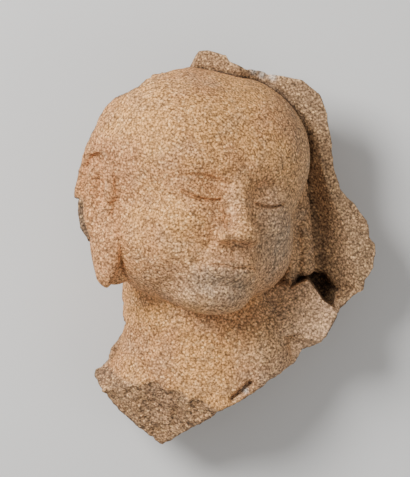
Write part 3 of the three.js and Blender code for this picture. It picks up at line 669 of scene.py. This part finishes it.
def masks(form, points, normals):
    """Where the stone is hollow, sharp or broken, which part of the carving it is, and where shade is
    painted into its colour, for its material.
    """
    x, y, z = points.astype(np.float32).T
    # Painted shade, partly dirt: hollow grows where the stone closes in round a point, like ambient
    # occlusion, and darkens hollows and creases in the colour
    hollow = np.zeros(len(x), np.float32)
    for reach in (NEAR_REACH, FAR_REACH):
        outer = points + reach * normals
        value = in_chunks(form, *outer.astype(np.float32).T)
        hollow += 0.5 * np.clip(1 - value / (0.9 * reach), 0, 1)
    inner = points - FAR_REACH * normals
    value = -in_chunks(form, *inner.astype(np.float32).T)
    sharp = np.clip(1 - value / (0.9 * FAR_REACH), 0, 1)

    surface = form.hood_surface(x, y)
    head = form.head_and_ears(x, y, z)
    hood = form.hood_and_stone_behind(x, y, z, surface)
    body = np.minimum(head, form.neck_and_breast(x, y, z))
    cloth = form.collar(x, y, z)
    depth = -np.minimum(np.minimum(hood, body), cloth)
    broken = np.maximum(ease(0.003, 0.012, depth), form.worn_corner(x, y))
    across, up, out = form.to_head(x, y, z)
    film_and_far_shade = np.maximum(
        bell((across - 0.24) / 0.2) * bell((up + 0.16) / 0.24),
        0.9 * bell(across / 0.2) * bell((up + 0.38) / 0.12),
    ) * ease(0.02, 0.2, out)
    # Painted shade: the whole far side of the head, away from the key light, is made greyer and darker; the
    # far cheek and chin patches above are real grey patina
    film_and_far_shade = np.maximum(film_and_far_shade, 0.7 * ease(0.1, 0.4, across))
    pale = np.maximum.reduce([bell(np.hypot(x - px, y - py) / size) for px, py, size in PALE_CHIPS])
    pale = pale * ease(-0.06, -0.02, z - surface)
    dark_chip = ease(0.01, -0.01, outline_distance(x, y, EAR_CHIP_PLAN)) * ease(0.02, -0.04, z)
    # Painted shade, partly dirt: a dark line along the crease between head and hood, and a dark floor in the
    # hollow beside the collar
    line = ease(0.008, 0.0, np.maximum(head, hood)) * ease(-0.17, -0.1, x)
    sunk = ease(0.012, -0.006, outline_distance(x, y, HOLLOW_PLAN)) * ease(-0.01, -0.04, z - surface)
    line = np.maximum(line, 0.9 * sunk)
    return {
        "hollow": hollow,
        "line": line,
        "sharp": sharp,
        "broken": broken,
        "shaded": np.maximum(broken * ease(0.75, 0.2, normals[:, 2]), dark_chip),
        "pale": pale,
        # Painted shade, partly: the hood gets a darker, duller colour that also stands in for the partial
        # shade it lies in beside the head
        "hood": ease(-0.004, 0.006, np.minimum(body, cloth) - hood),
        "cloth": ease(-0.004, 0.006, np.minimum(body, hood) - cloth),
        "ear": ease(-0.36, -0.41, across) * ease(0.2, 0.1, np.abs(up + 0.12) - 0.14),
        "film_and_far_shade": film_and_far_shade,
    }


def weathered_surface(form, cell):
    """Points and triangles of the whole surface, in shares."""
    low = np.array([*GRID_LOW, form.bed]) - 2.5 * cell
    counts = np.ceil((np.array(GRID_HIGH) - low) / cell / BLOCK).astype(int)
    values = without_pinches(sampled(form, low, cell, counts), cell)
    points, quads = largest_shell(*zero_surface(values, low, cell))
    points = settled(form, points, cell)
    triangles = np.concatenate([quads[:, [0, 1, 2]], quads[:, [0, 2, 3]]])
    points = points + weathering(form, points)[:, None] * vertex_normals(points, triangles)
    points[:, 2] = np.maximum(points[:, 2], form.bed)
    return points, triangles


def thinned(form, points, triangles, triangle_count):
    """A mesh in metres with fewer triangles, most of them left where the stone faces up."""
    mesh = bpy.data.meshes.new("carved")
    mesh.from_pydata((points * form.height).tolist(), [], triangles.tolist())
    whole = bpy.data.objects.new("carved", mesh)
    bpy.context.scene.collection.objects.link(whole)
    if len(triangles) > triangle_count:
        group = whole.vertex_groups.new(name="plain")
        normals = vertex_normals(points, triangles)
        plain = ease(0.35, -0.25, normals[:, 2]) * 0.9 + 0.05
        for level in range(THINNING_STEPS):
            chosen = np.flatnonzero((plain * THINNING_STEPS).astype(int) == level)
            if len(chosen):
                group.add(chosen.tolist(), (level + 0.5) / THINNING_STEPS, "REPLACE")
        thin = whole.modifiers.new("thin", "DECIMATE")
        thin.ratio = triangle_count / len(triangles)
        thin.vertex_group = group.name
        thin.vertex_group_factor = 1.0
    evaluated = whole.evaluated_get(bpy.context.evaluated_depsgraph_get())
    final = bpy.data.meshes.new_from_object(evaluated)
    bpy.data.objects.remove(whole)
    bpy.data.meshes.remove(mesh)
    return final


def carved_mesh(form, cell_length, triangle_count):
    """The fragment's mesh in metres with its masks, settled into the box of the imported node."""
    points, triangles = weathered_surface(form, form.share(cell_length))
    box_low, box_high = (np.array(corner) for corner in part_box(NODE))
    own_low, own_high = points.min(0) * form.height, points.max(0) * form.height
    scale = np.minimum((box_high - box_low) / (own_high - own_low), 1.0)
    place = (box_low + box_high) / 2 - scale * (own_low + own_high) / 2
    place[2] = box_low[2] - scale[2] * own_low[2]

    mesh = thinned(form, points, triangles, triangle_count)
    flat = np.empty(3 * len(mesh.vertices), np.float32)
    mesh.vertices.foreach_get("co", flat)
    kept = flat.reshape(-1, 3).astype(np.float64) / form.height
    corners = np.empty(3 * len(mesh.polygons), np.int32)
    mesh.polygons.foreach_get("vertices", corners)
    normals = vertex_normals(kept, corners.reshape(-1, 3))
    for name, values in masks(form, kept, normals).items():
        layer = mesh.attributes.new(name, "FLOAT", "POINT")
        layer.data.foreach_set("value", np.ascontiguousarray(values, np.float32))
    placed = np.clip(kept * form.height * scale + place, box_low + BOX_INSET, box_high - BOX_INSET)
    mesh.vertices.foreach_set("co", placed.astype(np.float32).ravel())
    mesh.polygons.foreach_set("use_smooth", np.ones(len(mesh.polygons), bool))
    mesh.update()
    return mesh


# The stone
class Nodes:
    """Adds and links the nodes of a material."""

    def __init__(self, material):
        material.use_nodes = True
        self.tree = material.node_tree
        self.tree.nodes.clear()

    def add(self, kind, inputs=None, **settings):
        """A node whose inputs, by name or number, are linked or set."""
        node = self.tree.nodes.new(kind)
        for name, value in settings.items():
            setattr(node, name, value)
        for name, value in (inputs or {}).items():
            socket = node.inputs[name]
            if isinstance(value, bpy.types.NodeSocket):
                self.tree.links.new(value, socket)
            else:
                socket.default_value = value
        return node

    def attribute(self, name):
        return self.add("ShaderNodeAttribute", attribute_name=name).outputs["Fac"]

    def noise(self, place, size, detail=2.0, roughness=0.5, distortion=0.0):
        inputs = {"Vector": place, "Scale": 1 / size, "Detail": detail, "Roughness": roughness,
                  "Distortion": distortion}
        return self.add("ShaderNodeTexNoise", inputs).outputs["Fac"]

    def math(self, operation, *values):
        return self.add("ShaderNodeMath", dict(enumerate(values)), operation=operation).outputs[0]

    def span(self, value, low, high, to_low=0.0, to_high=1.0):
        inputs = {"Value": value, "From Min": low, "From Max": high, "To Min": to_low, "To Max": to_high}
        return self.add("ShaderNodeMapRange", inputs, interpolation_type="SMOOTHSTEP").outputs["Result"]

    def mixed(self, share, a, b):
        """Two colours mixed, through the colour sockets of the node."""
        inputs = {0: share, 6: a, 7: b}
        return self.add("ShaderNodeMix", inputs, data_type="RGBA", clamp_factor=True).outputs[2]


def opaque(colour):
    return (*colour, 1.0)


def stone_material(finish):
    """Granular buff stone with ruddy grooves, a grey patina and a rough, speckled break, with painted shade
    in its hollows, creases and sideways breaks, on the hood and on the far side of the head.
    """
    material = bpy.data.materials.new("carved_stone")
    nodes = Nodes(material)
    place = nodes.add("ShaderNodeTexCoord").outputs["Object"]
    broken = nodes.attribute("broken")

    drift = nodes.noise(place, 0.055, 3, 0.55)
    patches = nodes.noise(place, 0.021, 4, 0.6, 0.4)
    grain = nodes.noise(place, 0.002, 1, 0.5)
    specks = nodes.noise(place, 0.0026, 1, 0.5)
    crystals = nodes.add("ShaderNodeTexVoronoi", {"Vector": place, "Scale": 1 / 0.0023})
    crystal = nodes.add("ShaderNodeSeparateColor", {"Color": crystals.outputs["Color"]}).outputs[0]

    # Grey patina patches, plus painted shade over the far side of the head
    film_and_far_shade = nodes.math("ADD", nodes.span(patches, 0.45, 0.7, 0, 0.3), nodes.attribute("film_and_far_shade"))
    coarse = nodes.span(nodes.noise(place, 0.0048, 3, 0.7), 0.46, 0.6)
    # Painted shade: broken faces that turn away from straight up are darkened, together with the dark chip
    # behind the near ear and dark grains on the breaks
    dark = nodes.math("MAXIMUM", nodes.attribute("shaded"), nodes.math("MULTIPLY", broken, coarse))
    # Painted shade, partly dirt: hollows and creases darkened towards the near-black groove colour
    hollow = nodes.span(nodes.attribute("hollow"), 0.3, 0.9, 0, 0.7)
    shade_and_stain = nodes.math("MAXIMUM", hollow, nodes.attribute("line"))
    coats = (
        (film_and_far_shade, 0.85, finish.patina_and_far_shade),
        (nodes.attribute("ear"), 0.8, finish.ruddy),
        # The hood's darker colour: dulled skin and painted shade
        (nodes.attribute("hood"), 0.85, finish.hood_dulling_and_shade),
        (nodes.attribute("cloth"), 0.6, finish.cloth),
        (broken, 0.6, finish.fresh_break),
        (dark, 0.68, finish.dark_break_and_shade),
        (shade_and_stain, 0.9, finish.groove_shade_and_dirt),
        (nodes.span(nodes.attribute("sharp"), 0.35, 0.8), 0.35, finish.worn_edge),
        (nodes.span(crystal, 0.75, 0.98), 0.35, finish.light_grain),
        (nodes.attribute("pale"), 0.8, finish.pale_chip),
    )
    colour = nodes.mixed(nodes.span(drift, 0.38, 0.62, 0, 0.7), opaque(finish.buff), opaque(finish.ruddy))
    for share, most, coat in coats:
        colour = nodes.mixed(nodes.math("MULTIPLY", share, most), colour, opaque(coat))

    grains = nodes.span(grain, 0.36, 0.64, 0.42, 1.28)
    gaps = nodes.span(crystals.outputs["Distance"], 0.3, 0.8, 1.0, 0.5)
    tone = nodes.math("MULTIPLY", nodes.math("ADD", grains, nodes.math("MULTIPLY", crystal, 0.55)), gaps)
    toned = nodes.add("ShaderNodeVectorMath", {0: colour, "Scale": tone}, operation="SCALE")
    speck = nodes.span(specks, 0.62, 0.7, 0, 0.6)
    colour = nodes.mixed(speck, toned.outputs[0], opaque(finish.speck))

    height = nodes.math("ADD", nodes.math("MULTIPLY", grain, 0.7), nodes.math("MULTIPLY", crystal, 0.3))
    bump = nodes.add("ShaderNodeBump", {"Strength": 0.9, "Distance": 0.0015, "Height": height})
    shader = nodes.add("ShaderNodeBsdfPrincipled", {
        "Base Color": colour, "Roughness": nodes.span(grain, 0.2, 0.8, 0.82, 0.96),
        "Normal": bump.outputs["Normal"], "Specular IOR Level": 0.3,
    })
    nodes.add("ShaderNodeOutputMaterial", {"Surface": shader.outputs["BSDF"]})
    return material


def plain_material(name, colour, roughness):
    material = bpy.data.materials.new(name)
    nodes = Nodes(material)
    shader = nodes.add("ShaderNodeBsdfPrincipled", {"Base Color": opaque(colour), "Roughness": roughness})
    nodes.add("ShaderNodeOutputMaterial", {"Surface": shader.outputs["BSDF"]})
    return material


# What a user may change
def length(name, description, default):
    return FloatProperty(name=name, description=description, default=default, min=0.0001, unit="LENGTH",
                         subtype="DISTANCE", precision=4)


def colour(name, description, default):
    return FloatVectorProperty(name=name, description=description, default=default, size=3, min=0, max=1,
                               subtype="COLOR")


def power(name, description, default):
    return FloatProperty(name=name, description=description, default=default, min=0, unit="POWER")


class SculptureSizes(bpy.types.PropertyGroup):
    """Sizes of the carved fragment"""

    head_height: length("Head height", "Crown to chin", 0.241)
    bed_depth: length("Bed depth", "From the head's centre down to the flat of the back", 0.096)
    head_turn: FloatProperty(name="Head turn", description="Turn of the face towards the hood",
                             default=math.radians(28), subtype="ANGLE")
    head_lean: FloatProperty(name="Head lean", description="Lean of the crown towards the hood",
                             default=math.radians(6), subtype="ANGLE")
    rest_width: length("Flat spot width", "The flat spot on the back, across", 0.126)
    rest_length: length("Flat spot length", "The flat spot on the back, along", 0.162)
    back_rise: length("Back rise", "How far the back lifts from the bed towards its edge", 0.016)
    break_relief: length("Break relief", "Height of the lumps on a broken surface", 0.01)
    hood_height: length("Hood height", "The hood's crest above the bed, beside the ear", 0.084)
    groove_width: length("Groove width", "The line between the head and the hood", 0.0018)
    groove_depth: length("Groove depth", "How deep that line is cut", 0.0035)
    lobe_length: length("Lobe length", "The hanging lobe below the ear's bowl", 0.082)
    edge_slope: FloatProperty(name="Edge slope", description="Run of a side break inwards for its depth",
                              default=0.42, min=0, max=1)
    cell: length("Cell", "Edge of a sampling cell", 0.00125)
    triangles: IntProperty(name="Triangles", description="Most triangles of the fragment", default=194000,
                           min=FEWEST_TRIANGLES, max=199000)


class StoneFinish(bpy.types.PropertyGroup):
    """Colours of the stone"""

    buff: colour("Buff", "The stone's own colour", (0.79, 0.39, 0.135))
    ruddy: colour("Ruddy", "Warmer drifts in the stone", (0.62, 0.29, 0.125))
    # Grey patina, also painted over the far side of the head as shade
    patina_and_far_shade: colour("Patina", "Grey film on the skin", (0.45, 0.315, 0.205))
    # Dulled skin of the hood, also painted darker as the shade it lies in
    hood_dulling_and_shade: colour("Weathered", "The hood's dulled skin", (0.39, 0.235, 0.125))
    cloth: colour("Cloth", "The collar's warmer skin", (0.66, 0.41, 0.235))
    # Painted shade and dirt: near-black brown put into hollows, creases and the hollow beside the collar
    groove_shade_and_dirt: colour("Groove", "Stain in hollows", (0.09, 0.052, 0.031))
    fresh_break: colour("Break", "Rough broken faces", (0.44, 0.275, 0.165))
    # Painted shade on broken faces that face sideways, and dark weathered edges of the breaks
    dark_break_and_shade: colour("Dark break", "Weathered broken edges", (0.13, 0.085, 0.055))
    worn_edge: colour("Worn edge", "Rubbed edges", (0.82, 0.52, 0.28))
    pale_chip: colour("Pale chip", "Small fresh chips", (0.8, 0.7, 0.6))
    light_grain: colour("Light grain", "Pale grains", (0.92, 0.58, 0.27))
    speck: colour("Speck", "Dark grains", (0.10, 0.05, 0.025))


class StudioSetup(bpy.types.PropertyGroup):
    """Floor, lights and camera"""

    floor_size: length("Floor", "Width of the floor", 12.0)
    floor_colour: colour("Floor colour", "A plain pale floor", (0.78, 0.77, 0.75))
    view_distance: length("View distance", "From the camera down to the middle of the stone", 2.6)
    view_height: length("View height", "What the picture's height covers", 0.477)
    view_x: FloatProperty(name="View centre X", description="Across", default=-0.021, unit="LENGTH")
    view_y: FloatProperty(name="View centre Y", description="Along", default=0.0105, unit="LENGTH")
    key_power: power("Key light", "Power of the key light", 54)
    fill_power: power("Fill light", "Power of the fill light", 8)
    sky: FloatProperty(name="Sky", description="Strength of the soft light all round", default=0.34, min=0)


class SCULPTURE_OT_head_fragment(bpy.types.Operator):
    """Carve the head fragment and give it its stone"""

    bl_idname = "sculpture.head_fragment"
    bl_label = "Head Fragment"

    def execute(self, context):
        sizes = context.scene.sculpture_sizes
        cell = sizes.cell * 1
        mesh = carved_mesh(Form(sizes), cell, sizes.triangles)
        if len(mesh.polygons) < FEWEST_TRIANGLES:
            raise RuntimeError("the fragment's surface was not found")
        mesh.materials.append(stone_material(context.scene.stone_finish))
        piece = bpy.data.objects.new("carved_head_fragment", mesh)
        context.scene.collection.objects.link(piece)
        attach(piece, "root")
        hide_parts(NODE)
        return {"FINISHED"}


# The studio, in metres, with the lights' places from the middle of the stone
STONE_MIDDLE = 0.1
KEY_SIZE = 0.95
KEY_OFFSET = (-1.12, 0.8, 1.5)
FILL_SIZE = 1.6
FILL_OFFSET = (1.3, -0.8, 1.2)


class SCULPTURE_OT_studio(bpy.types.Operator):
    """Set the floor, the lights and the camera"""

    bl_idname = "sculpture.studio"
    bl_label = "Studio"

    def execute(self, context):
        setup = context.scene.sculpture_studio
        half = setup.floor_size / 2
        corners = [(-half, -half, 0), (half, -half, 0), (half, half, 0), (-half, half, 0)]
        mesh = bpy.data.meshes.new("floor")
        mesh.from_pydata(corners, [], [(0, 1, 2, 3)])
        mesh.materials.append(plain_material("pale_floor", setup.floor_colour, 0.9))
        floor = bpy.data.objects.new("floor", mesh)
        context.scene.collection.objects.link(floor)

        world = bpy.data.worlds.new("studio")
        world.use_nodes = True
        background = world.node_tree.nodes["Background"]
        background.inputs["Color"].default_value = (1, 1, 1, 1)
        background.inputs["Strength"].default_value = setup.sky
        context.scene.world = world

        middle = Vector((setup.view_x, setup.view_y, STONE_MIDDLE))
        self.light(context, "key", setup.key_power, KEY_SIZE, middle, Vector(KEY_OFFSET))
        self.light(context, "fill", setup.fill_power, FILL_SIZE, middle, Vector(FILL_OFFSET))

        data = bpy.data.cameras.new("camera")
        data.sensor_fit = "VERTICAL"
        data.lens = data.sensor_height * setup.view_distance / setup.view_height
        camera = bpy.data.objects.new("camera", data)
        camera.location = middle + Vector((0, 0, setup.view_distance))
        context.scene.collection.objects.link(camera)
        context.scene.camera = camera
        return {"FINISHED"}

    @staticmethod
    def light(context, name, power, size, target, offset):
        data = bpy.data.lights.new(name, "AREA")
        data.energy = power
        data.shape = "DISK"
        data.size = size
        lamp = bpy.data.objects.new(name, data)
        lamp.location = target + offset
        lamp.rotation_euler = (-offset).to_track_quat("-Z", "Y").to_euler()
        context.scene.collection.objects.link(lamp)


class SCULPTURE_PT_panel(bpy.types.Panel):
    """Lists the sculpture's steps and sizes"""

    bl_idname = "SCULPTURE_PT_panel"
    bl_label = "Stone Face Sculpture"
    bl_space_type = "VIEW_3D"
    bl_region_type = "UI"
    bl_category = "Sculpture"

    def draw(self, context):
        for operator, groups in OPERATORS:
            self.layout.operator(operator)
            for group in groups:
                settings = getattr(context.scene, group)
                for name in settings.__annotations__:
                    self.layout.prop(settings, name)


OPERATORS = (
    ("sculpture.head_fragment", ("sculpture_sizes", "stone_finish")),
    ("sculpture.studio", ("sculpture_studio",)),
)
CLASSES = (
    SculptureSizes, StoneFinish, StudioSetup,
    SCULPTURE_OT_head_fragment, SCULPTURE_OT_studio, SCULPTURE_PT_panel,
)


def register():
    for cls in CLASSES:
        bpy.utils.register_class(cls)
    bpy.types.Scene.sculpture_sizes = PointerProperty(type=SculptureSizes)
    bpy.types.Scene.stone_finish = PointerProperty(type=StoneFinish)
    bpy.types.Scene.sculpture_studio = PointerProperty(type=StudioSetup)


def unregister():
    del bpy.types.Scene.sculpture_studio
    del bpy.types.Scene.stone_finish
    del bpy.types.Scene.sculpture_sizes
    for cls in reversed(CLASSES):
        bpy.utils.unregister_class(cls)


def main():
    register()
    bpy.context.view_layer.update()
    bpy.ops.sculpture.head_fragment()
    bpy.ops.sculpture.studio()


if __name__ == "__main__":
    main()
